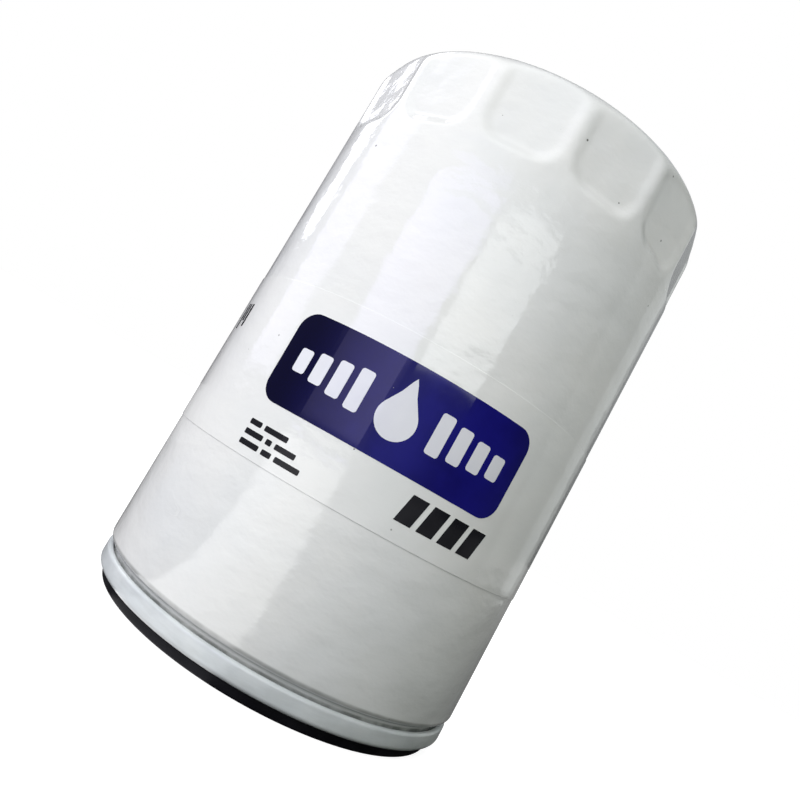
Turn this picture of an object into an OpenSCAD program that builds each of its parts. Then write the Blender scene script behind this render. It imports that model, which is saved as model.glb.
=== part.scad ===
// Spin-on oil filter: a drawn steel can with wrench flats on its domed end, seamed onto a lid that
// carries the gasket and the threaded base plate, around a pleated element with two valves.
// +Z runs from the gasket to the dome. The origin is the centre of the gasket's sealing face.

/* [Can] */
// Outer diameter of the can's body
can_d = 76; // [70:0.5:92]
// Height from the gasket's sealing face to the top of the dome
overall_h = 117; // [98:1:150]
// Thickness of the can's sheet
can_t = 0.35; // [0.3:0.05:0.5]
// Radius of the corner between the body and the dome
dome_corner_r = 6; // [5:0.5:8]
// Rise of the dome over its corner
dome_crown = 1.2; // [0.4:0.1:2]

/* [Wrench flats] */
// Number of wrench flats round the dome end
flat_count = 14; // [14:1:15]
// Width of one flat
flat_w = 14.6; // [12:0.1:15]
// Depth of a flat at its middle
flat_depth = 1.1; // [0.9:0.05:1.4]
// Height of a flat, from its lower edge to the top of the dome
flat_h = 18.4; // [15:0.2:20]
// Radius of a flat's lower corners
flat_corner_r = 4.4; // [2:0.2:4.6]
// Turn of the first flat from the front of the can, in degrees
flat_phase = -8; // [-13:0.1:13]

/* [Seam] */
// Thickness of the lid's sheet
lid_t = 0.4; // [0.35:0.05:0.5]
// Step from the can's body in to the outside of the seam
seam_inset = 0.3; // [0:0.1:0.6]
// Height of the lowest point of the seam above the gasket's face
seam_low = 2; // [1.6:0.1:2.6]
// Height of the seam
seam_h = 3.5; // [3.3:0.1:4.2]
// Overlap that the two hooks of the seam are short of the full height
hook_short = 0.5; // [0.3:0.05:0.6]
// Height of the can's step above the seam
neck_h = 2.2; // [1.8:0.1:3]

/* [Gasket] */
// Inner diameter of the gasket
gasket_id = 62; // [58:0.5:63]
// Thickness of the gasket along the axis
gasket_h = 5.6; // [5:0.1:6.4]
// Chamfer on the gasket's corners
gasket_chamfer = 0.4; // [0.2:0.1:0.6]
// Width that the gasket spreads by under the seam
gasket_flare = 0.5; // [0:0.1:0.6]
// Depth of the lid's inner wall, which keeps the gasket in its channel
channel_lip = 1.3; // [1:0.1:1.4]
// Inner diameter of the lid's flange under the base plate
lid_hole_d = 49; // [47:0.5:51]

/* [Base plate] */
// Thickness of the base plate
plate_t = 2.8; // [2.4:0.1:3.4]
// Minor diameter of the mounting thread
thread_minor_d = 17.5; // [16:0.1:18]
// Length of the plate's drawn hub, from the plate's outer face
hub_l = 10.5; // [9:0.5:12]
// Wall of the hub round the thread
hub_wall = 2.6; // [2:0.1:3]
// Number of oil inlet holes
inlet_count = 8; // [6:1:10]
// Diameter of one inlet hole
inlet_d = 5.5; // [4.5:0.1:5.6]
// Diameter of the circle that the inlet holes lie on
inlet_pcd = 41; // [39:0.5:43]

/* [Drain-back valve] */
// Thickness of the valve's rubber skirt
skirt_t = 0.9; // [0.7:0.05:1.2]
// Outer diameter of the skirt's lip
skirt_d = 53.6; // [51:0.2:55]
// Thickness of the valve's flange, which the element stands on
valve_flange_t = 1.2; // [0.8:0.1:1.6]

/* [Element] */
// Outer diameter of the pleated paper
pleat_od = 66; // [60:0.5:67]
// Number of pleats
pleat_count = 52; // [40:1:54]
// Thickness of the paper
paper_t = 0.55; // [0.4:0.05:0.6]
// Outer diameter of the perforated centre tube
tube_od = 32; // [30:0.5:33]
// Thickness of the centre tube's sheet
tube_t = 0.4; // [0.3:0.05:0.5]
// Diameter of one hole in the centre tube
tube_hole_d = 3.6; // [2.5:0.1:4]
// Holes in one ring round the centre tube, an even number
tube_holes = 12; // [10:2:14]
// Spacing of the rings of holes
tube_row = 8.4; // [6.5:0.1:10]
// Thickness of the end caps' sheet
cap_t = 0.4; // [0.3:0.05:0.5]
// Height of an end cap's rim
cap_rim = 3.6; // [3:0.2:4.4]
// Thickness of the adhesive in each end cap
potting_t = 1.5; // [1.2:0.1:2]
// Depth that the paper and the centre tube stand in the adhesive
potting_grip = 0.8; // [0.4:0.1:1]
// Room between the element's upper cap and the top of the dome
spring_room = 14.5; // [12:0.5:16]

/* [Bypass valve] */
// Diameter of the bypass opening in the upper end cap
bypass_d = 13; // [11:0.5:14]
// Outer diameter of the plunger
plunger_d = 18.4; // [17:0.2:19]
// Thickness of the plunger's disc
plunger_t = 1.3; // [1:0.1:1.8]
// Thickness of the plunger's rubber seal
seal_t = 1.3; // [1:0.1:1.6]
// Diameter of the plunger's stem
stem_d = 3.8; // [3:0.1:4.5]
// Thickness of the cage's sheet
cage_t = 0.5; // [0.4:0.05:0.7]
// Length of the bypass spring as fitted
bypass_spring_h = 15; // [13:0.5:18]
// Diameter of the bypass spring's wire
bypass_wire_d = 1.2; // [1:0.05:1.3]
// Turns of the bypass spring
bypass_turns = 6.5; // [5.5:0.5:7.5]

/* [Retaining spring] */
// Thickness of the leaf spring's sheet
leaf_t = 0.6; // [0.5:0.05:0.8]
// Number of arms on the leaf spring
leaf_arms = 4; // [3:1:5]
// Width of one arm
leaf_w = 9; // [7:0.5:11]

/* [Label] */
// Height of the label film's lower edge above the gasket's face
label_low = 32.4; // [30:0.2:40]
// Width of the label film along the axis
label_h = 30.6; // [24:0.2:34]
// Thickness of the label film
label_t = 0.1; // [0.08:0.01:0.15]

/* [Hidden] */
$fn = 96;

// Gap between pieces that lie against each other
lap = 0.02;
// Running clearance round a piece that moves
running = 0.3;
// Number of chords in a quarter of a round bend
bend_steps = 6;
// Width of the label's open seam at the back, in degrees
label_gap = 2;

can_r = can_d / 2;
flat_r = can_r - flat_depth;
flat_low = overall_h - flat_h;

// The seam's layers, from the outside in: lid, can hook, lid hook, can neck, lid wall
seam_r = can_r - seam_inset;
hook_r = seam_r - lid_t - lap;
lid_hook_r = hook_r - can_t - lap;
neck_r = lid_hook_r - lid_t - lap;
wall_r = neck_r - can_t - lap;
pocket_r = wall_r - lid_t;
seam_top = seam_low + seam_h;
// Both sheets turn round one centre at the bottom of the seam
turn_r = (seam_r - pocket_r - lid_t) / 2;
turn_at = [(seam_r + pocket_r) / 2, seam_low + lid_t / 2 + turn_r];
can_turn_r = (hook_r - neck_r) / 2;
top_turn_r = (seam_r - lid_hook_r) / 2;
top_turn_at = [(seam_r - lid_t / 2) - top_turn_r, seam_top - lid_t / 2 - top_turn_r];
// The can steps from its neck to its body in two equal bends
step_w = can_r - neck_r;
step_bend = (neck_h * neck_h + step_w * step_w) / (4 * step_w);
step_angle = asin(neck_h / 2 / step_bend);

// The lid's channel and the base plate's two levels
channel_z = gasket_h;
flange_z = gasket_h - channel_lip;
plate_z = flange_z + lid_t + lap;
rim_z = channel_z + lid_t + lap;
gasket_play = 0.1;
channel_in_r = gasket_id / 2 - gasket_play;
gasket_r = pocket_r - gasket_play;
rim_step_r = channel_in_r - lid_t - gasket_play;
rim_r = pocket_r;
hub_r = thread_minor_d / 2 + hub_wall;
hub_top = plate_z + hub_l;
hub_mouth_r = 2.4;
hub_chamfer = 0.6;

// The element stands on the drain-back valve's flange
skirt_z = plate_z + plate_t + lap;
flange_top = hub_top + lap + valve_flange_t;
cap_low = flange_top + lap;
// Wall of the valve's collar round the hub, and width of the shelf that its skirt hangs from
valve_wall = 1.6;
valve_shelf = 2.4;
// Distance from the hub's top down to the skirt's root, and width of the skirt's lip
valve_root_drop = 2.4;
lip_w = 1.2;
valve_in_r = hub_r + lap;
valve_out_r = valve_in_r + valve_wall + valve_shelf;
valve_root_z = hub_top - valve_root_drop;
skirt_in_r = valve_out_r + running;
lip_r = skirt_d / 2;
cap_high = overall_h - spring_room;
cap_r = pleat_od / 2 + cap_t + 0.5;
media_low = cap_low + cap_t + potting_t - potting_grip;
media_high = cap_high - cap_t - potting_t + potting_grip;
tube_r = tube_od / 2;
collar_r = tube_r - tube_t - 2.85;
pleat_in_r = tube_r + 0.6;

// The bypass valve hangs from the upper end cap
seat_z = cap_high - cap_t;
cage_in_r = plunger_d / 2 + running + 0.2;
cage_r = cage_in_r + cage_t;
cage_flange_r = tube_r - tube_t - 0.2;
plunger_top = seat_z - lap - seal_t;
spring_top = plunger_top - plunger_t;
cage_floor = spring_top - bypass_spring_h;
stem_room = running;
spring_r = cage_in_r - running - bypass_wire_d / 2 - 0.8;

// The leaf spring's arms touch the dome here
leaf_touch_r = can_r - dome_corner_r - 6.5;

// Inside of the dome above a given radius
dome_in = can_r - dome_corner_r;
dome_ball = (dome_in * dome_in + dome_crown * dome_crown) / (2 * dome_crown);
function dome_under(r) = overall_h - can_t - dome_ball + sqrt(dome_ball * dome_ball - r * r);

// ---- Outlines of bent sheet ----
function arc(at, r, from, to, steps) =
    [for (i = [0:steps]) at + r * [cos(from + (to - from) * i / steps), sin(from + (to - from) * i / steps)]];
function along(p, i) = (p[i + 1] - p[i]) / norm(p[i + 1] - p[i]);
function left(v) = [-v[1], v[0]];
// A point moved square to the line by d, at a mitre where the line bends
function beside(p, i, d) =
    let (a = left(along(p, max(i - 1, 0))), b = left(along(p, min(i, len(p) - 2))), m = a + b)
    p[i] + 2 * d * m / (m * m);
// A closed outline of thickness t with the line p down its middle
function sheet(p, t) = concat(
    [for (i = [0:len(p) - 1]) beside(p, i, t / 2)],
    [for (i = [len(p) - 1:-1:0]) beside(p, i, -t / 2)]);

// The can's outside from its neck to the axis, moved inwards by inset
function can_outline(inset, low) = concat(
    [[neck_r - inset, low]],
    arc([neck_r - step_bend + step_bend * 2, seam_top], step_bend + inset, 180, 180 - step_angle, bend_steps),
    arc([can_r - step_bend, seam_top + neck_h], step_bend - inset, -step_angle, 0, bend_steps),
    arc([dome_in, overall_h - dome_crown - dome_corner_r], dome_corner_r - inset, 0,
        90 - asin(dome_in / dome_ball), bend_steps * 2),
    [for (i = [1:bend_steps * 2]) let (r = dome_in * (1 - i / (bend_steps * 2)))
        [r, dome_under(r) + can_t - inset]]);

module flat_block(grow) {
    w = flat_w + 2 * grow;
    corner = flat_corner_r + grow;
    for (k = [0:flat_count - 1])
        rotate([90, 0, flat_phase + k * 360 / flat_count])
            translate([0, flat_low - grow, flat_r - grow])
                linear_extrude(flat_depth + dome_corner_r) {
                    translate([-w / 2, corner]) square([w, flat_h]);
                    translate([-w / 2 + corner, 0]) square([w - 2 * corner, flat_h]);
                    for (side = [-1, 1])
                        translate([side * (w / 2 - corner), corner]) circle(corner);
                }
}

module can() color([0.94, 0.94, 0.93]) {
    overlap = 0.4;
    hook = concat(
        [[neck_r - can_t / 2, turn_at[1] + overlap]],
        arc(turn_at, can_turn_r, 180, 360, bend_steps * 2),
        [[hook_r - can_t / 2, seam_top - lid_t - hook_short]]);
    difference() {
        rotate_extrude() polygon(concat([[0, turn_at[1]]], can_outline(0, turn_at[1])));
        flat_block(0);
        difference() {
            rotate_extrude() polygon(concat([[0, 0]], can_outline(can_t, 0)));
            flat_block(can_t);
        }
    }
    rotate_extrude() polygon(sheet(hook, can_t));
}

module seaming_lid() color([0.90, 0.91, 0.90]) {
    wall = channel_in_r - lid_t / 2;
    corner = 0.5;
    line = concat(
        [[lid_hole_d / 2, flange_z + lid_t / 2]],
        arc([wall - corner, flange_z + lid_t / 2 + corner], corner, -90, 0, bend_steps),
        arc([wall + corner, channel_z + lid_t / 2 - corner], corner, 180, 90, bend_steps),
        arc([pocket_r + lid_t / 2 - corner, channel_z + lid_t / 2 - corner], corner, 90, 0, bend_steps),
        arc(turn_at, turn_r, 180, 360, bend_steps * 2),
        arc(top_turn_at, top_turn_r, 0, 180, bend_steps * 2),
        [[lid_hook_r - lid_t / 2, turn_at[1] + hook_short]]);
    rotate_extrude() polygon(sheet(line, lid_t));
}

module ring(r_out, r_in, low, high) {
    difference() {
        translate([0, 0, low]) cylinder(r = r_out, h = high - low);
        translate([0, 0, low - 1]) cylinder(r = r_in, h = high - low + 2);
    }
}

module seam_compound() color([0.35, 0.30, 0.24])
    ring(hook_r - lap, hook_r - can_t + lap, seam_top - lid_t - hook_short + lap,
         seam_top - lid_t - top_turn_r + lid_t / 2);

module base_plate() color([0.62, 0.63, 0.64]) {
    bore_r = thread_minor_d / 2;
    rim_slope = 1.4;
    corner = 0.4;
    difference() {
        rotate_extrude() polygon(concat(
            arc([bore_r + hub_mouth_r, plate_z + hub_mouth_r], hub_mouth_r, 180, 270, bend_steps),
            [[rim_step_r - corner, plate_z], [rim_step_r, plate_z + corner], [rim_step_r, rim_z],
             [rim_r, rim_z],
             [rim_r, rim_z + plate_t], [rim_step_r, rim_z + plate_t],
             [rim_step_r - rim_slope, plate_z + plate_t]],
            arc([hub_r + hub_mouth_r / 2, plate_z + plate_t + hub_mouth_r / 2], hub_mouth_r / 2,
                270, 180, bend_steps),
            [[hub_r, hub_top - hub_chamfer], [hub_r - hub_chamfer, hub_top],
             [bore_r + hub_chamfer, hub_top], [bore_r, hub_top - hub_chamfer]]));
        for (k = [0:inlet_count - 1])
            rotate([0, 0, k * 360 / inlet_count])
                translate([inlet_pcd / 2, 0, plate_z - 1]) cylinder(d = inlet_d, h = plate_t + 2);
    }
}

module gasket() color([0.04, 0.04, 0.05]) {
    c = gasket_chamfer;
    r_in = gasket_id / 2;
    flare_r = gasket_r + gasket_flare;
    flare_z = seam_low - 0.2;
    top = gasket_h - lap;
    rotate_extrude() polygon([
        [r_in + c, 0], [flare_r - c, 0], [flare_r, c], [flare_r, flare_z],
        [gasket_r, seam_low + lid_t + gasket_flare / 3], [gasket_r, top - c],
        [gasket_r - c, top], [r_in + c, top], [r_in, top - c], [r_in, c]]);
}

module label_film() color([0.10, 0.12, 0.45])
    rotate([0, 0, 90 + label_gap / 2])
        rotate_extrude(angle = 360 - label_gap)
            translate([can_r + lap, label_low]) square([label_t, label_h]);

// The valve is one rubber moulding: a collar on the hub, and a skirt that lifts
module drainback_valve() color([0.55, 0.16, 0.10]) {
    low_r = thread_minor_d / 2 + 1;
    rotate_extrude() polygon([
        [low_r, hub_top + lap], [valve_in_r, hub_top + lap], [valve_in_r, valve_root_z - valve_wall],
        [valve_in_r + valve_wall, valve_root_z - valve_wall], [valve_out_r, valve_root_z - valve_wall / 2],
        [valve_out_r, flange_top], [low_r, flange_top]]);
}

module drainback_skirt() color([0.55, 0.16, 0.10]) {
    root_z = valve_root_z - valve_wall / 2;
    rotate_extrude() polygon([
        [skirt_in_r, root_z - skirt_t], [lip_r - lip_w, skirt_z], [lip_r, skirt_z],
        [lip_r, skirt_z + skirt_t / 2], [lip_r - lip_w, skirt_z + skirt_t], [skirt_in_r, root_z]]);
}

// An end cap as a disc with a rim on one face; up is 1 for a rim that rises
module end_cap(z, up, inner) {
    corner = 0.5;
    mid = cap_r - cap_t / 2;
    line = concat(
        inner,
        arc([mid - corner, z + up * corner], corner, -90 * up, 0, bend_steps),
        [[mid, z + up * (cap_rim - cap_t / 2)]]);
    rotate_extrude() polygon(sheet(line, cap_t));
}

module lower_end_cap() color([0.72, 0.74, 0.75]) {
    bend = 0.6;
    z = cap_low + cap_t / 2;
    end_cap(z, 1, concat(
        [[collar_r, cap_low + cap_rim]],
        arc([collar_r + bend, z + bend], bend, 180, 270, bend_steps)));
}

module upper_end_cap() color([0.72, 0.74, 0.75])
    end_cap(cap_high - cap_t / 2, -1, [[bypass_d / 2, cap_high - cap_t / 2]]);

// The adhesive in an end cap whose disc it lies on at z; up is 1 where the cap is below it
module potting(z, up) {
    edge = cap_r - cap_t - lap;
    in_r = tube_r - tube_t - 0.1;
    corner = 0.3;
    rotate_extrude() polygon([
        [in_r, z], [edge - corner, z], [edge, z + up * corner], [edge, z + up * potting_t],
        [in_r, z + up * potting_t]]);
}

module lower_potting() color([0.75, 0.30, 0.18]) potting(cap_low + cap_t + lap, 1);

module upper_potting() color([0.75, 0.30, 0.18]) potting(cap_high - cap_t - lap, -1);

// One pleat's corners on the outer or the inner side of the paper
function at_angle(r, a, off) = [r * cos(a) - off * sin(a), r * sin(a) + off * cos(a)];
pleat_step = 360 / pleat_count;
fold = 0.2;
function pleat_line(tip_r, tip_half, root_r, root_half) = [
    for (k = [0:pleat_count - 1]) let (a = k * pleat_step, b = a + pleat_step / 2)
        each [at_angle(tip_r, a, -tip_half), at_angle(tip_r, a, tip_half),
              at_angle(root_r, b, -root_half), at_angle(root_r, b, root_half)]];

module pleated_media() color([0.85, 0.72, 0.45])
    translate([0, 0, media_low])
        linear_extrude(media_high - media_low)
            difference() {
                polygon(pleat_line(pleat_od / 2, paper_t + fold, pleat_in_r + paper_t, fold));
                polygon(pleat_line(pleat_od / 2 - paper_t, fold, pleat_in_r, paper_t + fold));
            }

module media_clip() color([0.70, 0.71, 0.72]) {
    clip_t = 0.3;
    clip_depth = 5;
    grip = paper_t + fold + lap + 0.06;
    out = pleat_od / 2 + lap;
    lean = 0.75;
    low = cap_low + cap_t + potting_t + 0.1;
    high = cap_high - cap_t - potting_t - 0.1;
    translate([0, 0, low]) linear_extrude(high - low) polygon([
        [out + clip_t, -grip - clip_t], [out + clip_t, grip + clip_t],
        [out - clip_depth, grip + clip_t], [out - clip_depth, grip],
        [out, grip], [out, -grip], [out - clip_depth, -grip], [out - clip_depth, -grip - clip_t]]);
}

module center_tube() color([0.70, 0.72, 0.73]) {
    rows = floor((media_high - media_low - 2 * tube_row) / tube_row);
    first = (media_low + media_high - rows * tube_row) / 2;
    difference() {
        ring(tube_r, tube_r - tube_t, media_low, media_high);
        for (row = [0:rows], k = [0:tube_holes - 1])
            translate([0, 0, first + row * tube_row])
                rotate([0, 90, (k + (row % 2) / 2) * 360 / tube_holes])
                    translate([0, 0, tube_r - tube_t - 1]) cylinder(d = tube_hole_d, h = tube_t + 2);
    }
}

module bypass_cage() color([0.66, 0.67, 0.68]) {
    windows = 4;
    window_w = 7;
    window_top = plunger_top - plunger_t + 0.6;
    window_low = cage_floor + 3;
    top = seat_z - lap;
    bend = 0.5;
    floor_z = cage_floor - cage_t / 2;
    line = concat(
        [[cage_flange_r, top - cage_t / 2]],
        arc([cage_r - cage_t / 2 + bend, top - cage_t / 2 - bend], bend, 90, 180, bend_steps),
        arc([cage_r - cage_t / 2 - bend, floor_z + bend], bend, 0, -90, bend_steps),
        [[stem_d / 2 + stem_room, floor_z]]);
    difference() {
        rotate_extrude() polygon(sheet(line, cage_t));
        for (k = [0:windows - 1])
            rotate([0, 0, k * 360 / windows])
                translate([cage_in_r - 2, -window_w / 2, window_low])
                    cube([cage_t + 4, window_w, window_top - window_low]);
    }
}

module bypass_plunger() color([0.12, 0.12, 0.13]) {
    stem_low = cage_floor - cage_t - 2;
    hub = stem_d / 2 + 1.4;
    pin_r = bypass_d / 2 - 1.8;
    rotate_extrude() polygon([
        [0, stem_low], [stem_d / 2 - 0.4, stem_low], [stem_d / 2, stem_low + 0.4],
        [stem_d / 2, spring_top - 3], [hub, spring_top - 1.6], [hub, spring_top],
        [plunger_d / 2, spring_top], [plunger_d / 2, plunger_top],
        [pin_r, plunger_top], [pin_r, plunger_top + seal_t * 0.6], [pin_r - 0.5, plunger_top + seal_t],
        [0, plunger_top + seal_t]]);
}

module bypass_seal() color([0.08, 0.08, 0.09])
    ring(plunger_d / 2 - 0.2, bypass_d / 2 - 1.8 + lap, plunger_top + lap, plunger_top + lap + seal_t - lap);

// A coil that lies flat at both ends: its height at a share t of its length
function coil_z(t, low, high, wire, turns) =
    let (closed = 1 / turns, rise = wire * 1.02,
         flat_low_z = low + rise * min(t, closed) / closed,
         rest = max(0, min(t, 1 - closed) - closed) / (1 - 2 * closed),
         flat_high_z = rise * max(0, t - (1 - closed)) / closed)
    flat_low_z + rest * (high - low - 2 * rise) + flat_high_z;

module coil(r, wire, turns, low, high) {
    sides = 8;
    rings = round(turns * 20);
    function centre(i) = let (t = i / rings, a = 360 * turns * t)
        [r * cos(a), r * sin(a), coil_z(t, low, high, wire, turns)];
    function around(i, s) = let (a = 360 * turns * i / rings, b = 360 * s / sides)
        centre(i) + wire / 2 * [cos(b) * cos(a), cos(b) * sin(a), sin(b)];
    points = [for (i = [0:rings], s = [0:sides - 1]) around(i, s)];
    faces = concat(
        [[for (s = [0:sides - 1]) s]],
        [for (i = [0:rings - 1], s = [0:sides - 1])
            let (n = (s + 1) % sides)
            each [[i * sides + s, (i + 1) * sides + s, (i + 1) * sides + n],
                  [i * sides + s, (i + 1) * sides + n, i * sides + n]]],
        [[for (s = [sides - 1:-1:0]) rings * sides + s]]);
    polyhedron(points, faces, convexity = 10);
}

module bypass_spring() color([0.55, 0.56, 0.58])
    coil(spring_r, bypass_wire_d, bypass_turns,
         cage_floor + bypass_wire_d / 2 + lap, spring_top - bypass_wire_d / 2 - lap);

module retaining_spring() color([0.30, 0.32, 0.36]) {
    low = cap_high + lap + leaf_t / 2;
    ring_out = bypass_d / 2 + 10;
    ring_in = bypass_d / 2 + 4;
    heel = ring_out - 1;
    touch_z = dome_under(norm([leaf_touch_r, leaf_w / 2])) - lap - leaf_t / 2;
    arm = [[ring_in + 2, low], [heel, low], [leaf_touch_r - 2, touch_z - 0.6],
           [leaf_touch_r, touch_z - 0.02], [leaf_touch_r + 2.5, touch_z - 0.5]];
    ring(ring_out, ring_in, low - leaf_t / 2, low + leaf_t / 2);
    for (k = [0:leaf_arms - 1])
        rotate([90, 0, k * 360 / leaf_arms])
            translate([0, 0, -leaf_w / 2])
                linear_extrude(leaf_w) polygon(sheet(arm, leaf_t));
}

can();
seaming_lid();
seam_compound();
base_plate();
gasket();
label_film();
drainback_valve();
drainback_skirt();
lower_end_cap();
lower_potting();
pleated_media();
media_clip();
center_tube();
upper_potting();
upper_end_cap();
bypass_cage();
bypass_plunger();
bypass_seal();
bypass_spring();
retaining_spring();
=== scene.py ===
from math import asin, atan2, cos, degrees, floor, hypot, pi, radians, sin, sqrt

import bpy
from mathutils import Matrix, Vector


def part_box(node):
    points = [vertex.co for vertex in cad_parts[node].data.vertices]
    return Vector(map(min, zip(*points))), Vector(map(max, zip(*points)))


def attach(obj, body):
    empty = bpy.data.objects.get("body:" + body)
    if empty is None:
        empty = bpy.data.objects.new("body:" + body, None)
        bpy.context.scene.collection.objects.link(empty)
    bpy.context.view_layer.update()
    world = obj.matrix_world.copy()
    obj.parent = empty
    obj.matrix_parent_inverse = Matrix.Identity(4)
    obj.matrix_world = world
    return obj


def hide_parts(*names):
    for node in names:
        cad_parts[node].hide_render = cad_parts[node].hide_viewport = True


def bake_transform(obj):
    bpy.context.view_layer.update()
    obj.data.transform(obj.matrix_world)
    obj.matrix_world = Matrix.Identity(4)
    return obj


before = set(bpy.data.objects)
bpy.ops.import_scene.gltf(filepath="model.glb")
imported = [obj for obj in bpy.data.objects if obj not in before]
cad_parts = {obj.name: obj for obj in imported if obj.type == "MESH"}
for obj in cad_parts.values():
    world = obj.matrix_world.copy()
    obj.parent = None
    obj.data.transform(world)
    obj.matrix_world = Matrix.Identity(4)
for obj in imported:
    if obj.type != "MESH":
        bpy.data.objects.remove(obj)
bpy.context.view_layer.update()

MM = 0.001
MERGE = 0.001 * MM


# ---- Sizes taken from the frame ----
can_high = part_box("can")[1]
lid_low, lid_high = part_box("seaming_lid")
gasket_low, gasket_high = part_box("gasket")
film_low, film_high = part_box("label_film")
plate_low, plate_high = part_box("base_plate")
valve_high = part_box("drainback_valve")[1]
skirt_low, skirt_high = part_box("drainback_skirt")
coil_low, coil_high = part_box("bypass_spring")

CAN_R = can_high.x
SEAM_R = lid_high.x
TOP_Z = can_high.z
SEAM_LOW = lid_low.z
LIP_R = skirt_high.x

# Sheet thicknesses and the seam's layers
CAN_T = 0.35 * MM
LID_T = 0.4 * MM
LAP = 0.02 * MM
SEAM_H = 3.5 * MM
SEAM_TOP = SEAM_LOW + SEAM_H
HOOK_R = SEAM_R - LID_T - LAP
LID_HOOK_R = HOOK_R - CAN_T - LAP
NECK_R = LID_HOOK_R - LID_T - LAP
WALL_R = NECK_R - CAN_T - LAP
POCKET_R = WALL_R - LID_T
HOOK_SHORT = 0.5 * MM
NECK_H = 2.2 * MM

# Dome and wrench flats
DOME_CORNER_R = 6 * MM
DOME_CROWN = 1.2 * MM
FLATS = 14
FLAT_W = 14.6 * MM
FLAT_DEPTH = 1.1 * MM
FLAT_H = 18.4 * MM
FLAT_CORNER_R = 4.4 * MM
FLAT_SOFT = 1.3 * MM
FLAT_PHASE = radians(-8)
FLAT_COLUMNS = 28

# Gasket, base plate and valve
GASKET_IN_R = 31 * MM
SEAT_GAP = 0.1 * MM
PLATE_T = 2.8 * MM
PLATE_Z = plate_low.z
HUB_TOP = plate_high.z
THREAD_MINOR_R = 8.75 * MM
THREAD_MAJOR_R = 9.5 * MM
THREAD_PITCH = 25.4 / 16 * MM
HUB_R = 11.35 * MM
INLETS = 8
INLET_R = 2.75 * MM
INLET_PCR = 20.5 * MM
LID_HOLE_R = 24.5 * MM
SKIRT_T = 0.9 * MM


# ---- Working in object and edit mode ----
def nothing_selected():
    if bpy.context.object and bpy.context.object.mode != "OBJECT":
        bpy.ops.object.mode_set(mode="OBJECT")
    bpy.ops.object.select_all(action="DESELECT")


def select_only(piece):
    """Operators act on all that is selected, so everything else is let go first."""
    nothing_selected()
    piece.select_set(True)
    bpy.context.view_layer.objects.active = piece


def edit(piece):
    select_only(piece)
    bpy.ops.object.mode_set(mode="EDIT")


def settled(piece):
    """Puts the object's place and turn into its mesh."""
    select_only(piece)
    bpy.ops.object.transform_apply(location=True, rotation=True, scale=True)
    return piece


def done(piece):
    """Leaves edit mode with the piece's place in its mesh."""
    bpy.ops.object.mode_set(mode="OBJECT")
    bpy.ops.object.transform_apply(location=True, rotation=True, scale=True)
    return piece


def named(name):
    """Names the object that an operator has just made."""
    piece = bpy.context.object
    piece.name = name
    piece.data.name = name
    return piece


def apply(piece, kind, **values):
    """Adds a modifier with its values and makes its result the mesh."""
    modifier = piece.modifiers.new(kind.title(), kind)
    for key, value in values.items():
        setattr(modifier, key, value)
    select_only(piece)
    bpy.ops.object.modifier_apply(modifier=modifier.name)
    return piece


def smooth(piece, angle):
    """Smooth shading, but for edges sharper than an angle in degrees."""
    select_only(piece)
    bpy.ops.object.shade_smooth_by_angle(angle=radians(angle))
    return piece


def clean_up(merge=MERGE):
    """Merges doubles and turns every face outwards, in edit mode."""
    bpy.ops.mesh.select_all(action="SELECT")
    bpy.ops.mesh.remove_doubles(threshold=merge)
    bpy.ops.mesh.normals_make_consistent(inside=False)


def arc(centre, radius, start, end, steps):
    """Points round a bend, with the angles in degrees."""
    turns = [radians(start + (end - start) * i / steps) for i in range(steps + 1)]
    return [(centre[0] + radius * cos(a), centre[1] + radius * sin(a)) for a in turns]


def line(a, b, steps):
    """Evenly spaced points from a to b, without a itself."""
    return [(a[0] + (b[0] - a[0]) * i / steps, a[1] + (b[1] - a[1]) * i / steps)
            for i in range(1, steps + 1)]


def chain(name, points):
    """A new piece in edit mode: a line of extruded points (x, z), all of it selected."""
    nothing_selected()
    x, z = points[0]
    bpy.ops.mesh.primitive_plane_add(size=MM, location=(x, 0, z))
    piece = named(name)
    edit(piece)
    bpy.ops.mesh.select_all(action="SELECT")
    bpy.ops.mesh.merge(type="CENTER")
    for next_x, next_z in points[1:]:
        bpy.ops.mesh.extrude_vertices_move(
            TRANSFORM_OT_translate={"value": (next_x - x, 0, next_z - z)})
        x, z = next_x, next_z
    bpy.ops.mesh.select_all(action="SELECT")
    return piece


def turned(name, outline, sides, closed=True):
    """An outline of points (r, z), spun round the can's axis."""
    piece = chain(name, outline + ([outline[0]] if closed else []))
    bpy.ops.mesh.remove_doubles(threshold=MERGE)
    bpy.ops.mesh.spin(steps=sides, angle=2 * pi, center=(0, 0, 0), axis=(0, 0, 1))
    clean_up(2 * MERGE)
    return done(piece)


# ---- Can ----
DOME_IN = CAN_R - DOME_CORNER_R
DOME_BALL = (DOME_IN ** 2 + DOME_CROWN ** 2) / (2 * DOME_CROWN)
CORNER_Z = TOP_Z - DOME_CROWN - DOME_CORNER_R
TURN_AT = ((SEAM_R + POCKET_R) / 2, SEAM_LOW + LID_T / 2 + (SEAM_R - POCKET_R - LID_T) / 2)


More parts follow.
